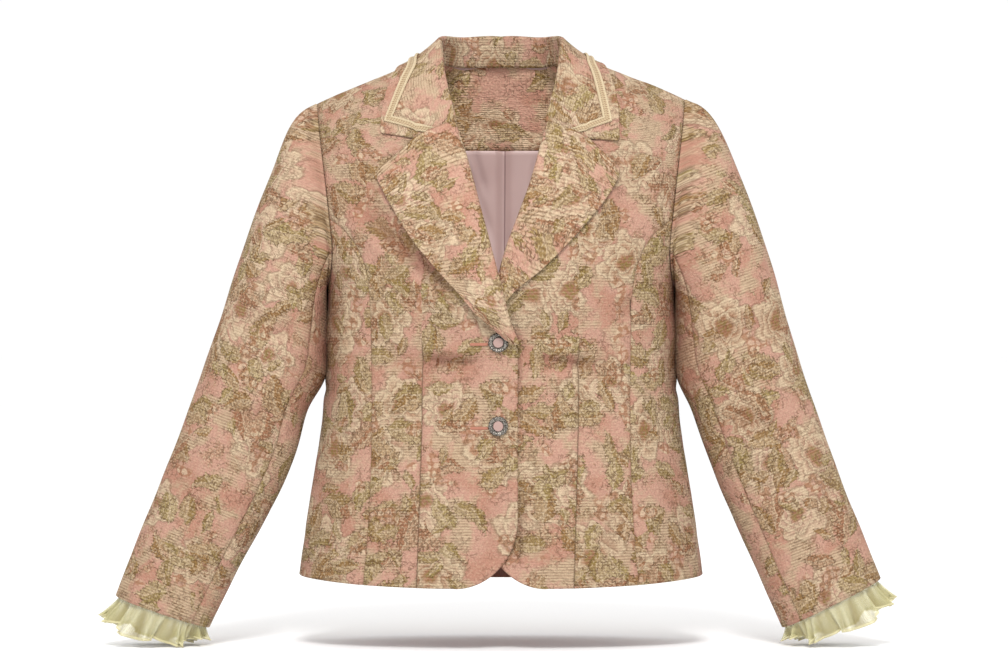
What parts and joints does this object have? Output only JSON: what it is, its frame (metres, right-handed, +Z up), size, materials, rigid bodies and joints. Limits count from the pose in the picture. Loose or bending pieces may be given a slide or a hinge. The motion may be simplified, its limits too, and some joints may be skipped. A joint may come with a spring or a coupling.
{
  "type": "jacquard blazer",
  "caption": "Woman's fitted floral jacquard blazer in its worn form: notched lapels, braid-trimmed collar, princess seams, metal-rimmed buttons and gathered organza cuff frills.",
  "frame": {"origin": "where the wearer's neck leaves the shoulders: on the centre plane, at the height of the side neck points", "axes": "+X towards the wearer's left arm, +Y towards the wearer's back, +Z up along the neck"},
  "size_m": [0.8444, 0.2671, 0.6505],
  "materials": {
    "jacquard": "woven floral jacquard with a fine cross rib",
    "organza": "sheer gathered organza with a shiny edge",
    "braid": "woven cream braid",
    "lining": "satin",
    "button_metal": "antique silver, stamped dots",
    "button_enamel": "pale pink enamel"
  },
  "bodies": {
    "root": {"front_right": "jacquard", "side_right": "jacquard", "back_right": "jacquard", "lapel_right": "jacquard", "sleeve_top_right": "jacquard", "sleeve_under_right": "jacquard", "frill_right": "organza", "front_left": "jacquard", "side_left": "jacquard", "back_left": "jacquard", "lapel_left": "jacquard", "sleeve_top_left": "jacquard", "sleeve_under_left": "jacquard", "frill_left": "organza", "collar": "jacquard", "collar_braid": "braid", "neck_facing": "jacquard", "back_lining": "lining", "button_rim_upper": "button_metal", "button_centre_upper": "button_enamel", "button_rim_lower": "button_metal", "button_centre_lower": "button_enamel"}
  },
  "joints": []
}
